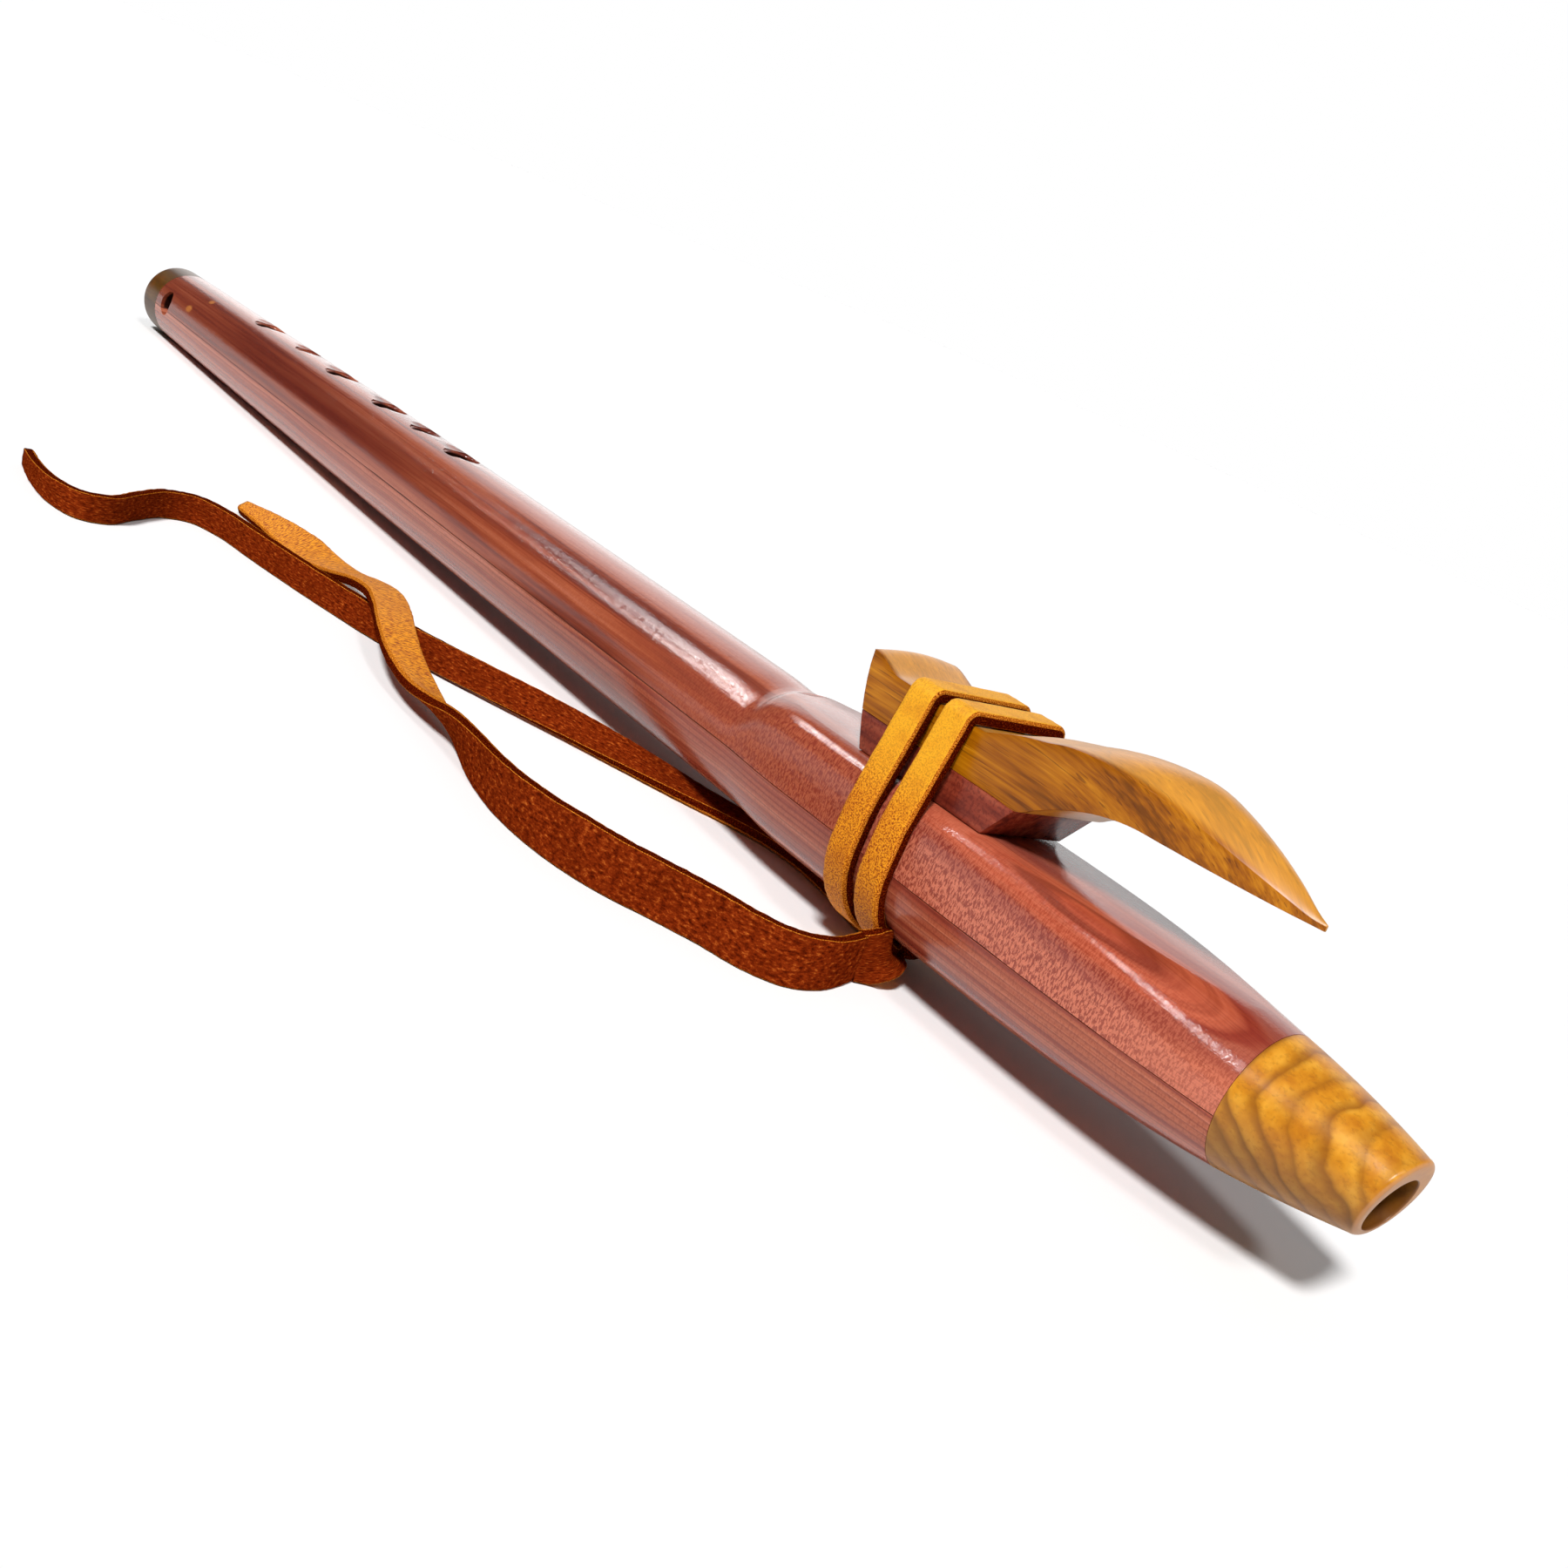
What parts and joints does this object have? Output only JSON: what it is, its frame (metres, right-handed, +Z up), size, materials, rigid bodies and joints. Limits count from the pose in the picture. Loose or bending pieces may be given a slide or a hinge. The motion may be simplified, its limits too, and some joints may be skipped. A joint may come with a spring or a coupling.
{
  "type": "native american style flute",
  "caption": "Two-chamber wooden flute with a tapered cedar body, turned light wood ends and a horned block tied on by a flat leather lace with loose tails.",
  "frame": {"origin": "centre of the footprint of flute, block, wraps and knot, on the surface that the flute lies on", "axes": "+Z up, +X along the flute towards the mouth end, which leans up by 1.35 degrees, and the loose lace tails lie on the -Y side"},
  "size_m": [0.5636, 0.1328, 0.067],
  "materials": {
    "cedar": "aromatic red cedar under clear gloss lacquer",
    "light_wood": "golden hardwood with brown flecks under clear gloss lacquer",
    "lace_leather": "golden grain side, rust suede flesh side, dark cut edges"
  },
  "bodies": {
    "flute": {"body_upper_half": "cedar", "body_lower_half": "cedar", "foot_ring": "light_wood", "mouthpiece": "light_wood", "lace_wraps": "lace_leather", "lace_knot": "lace_leather", "lace_tail_outer": "lace_leather", "lace_tail_inner": "lace_leather"},
    "block": {"block_base": "cedar", "block_top": "light_wood"}
  },
  "joints": [
    {"name": "block_slide", "type": "slide", "parent": "flute", "child": "block", "axis": [0.9997, 0, 0.0236], "range_m": [-0.002, 0.003]}
  ]
}
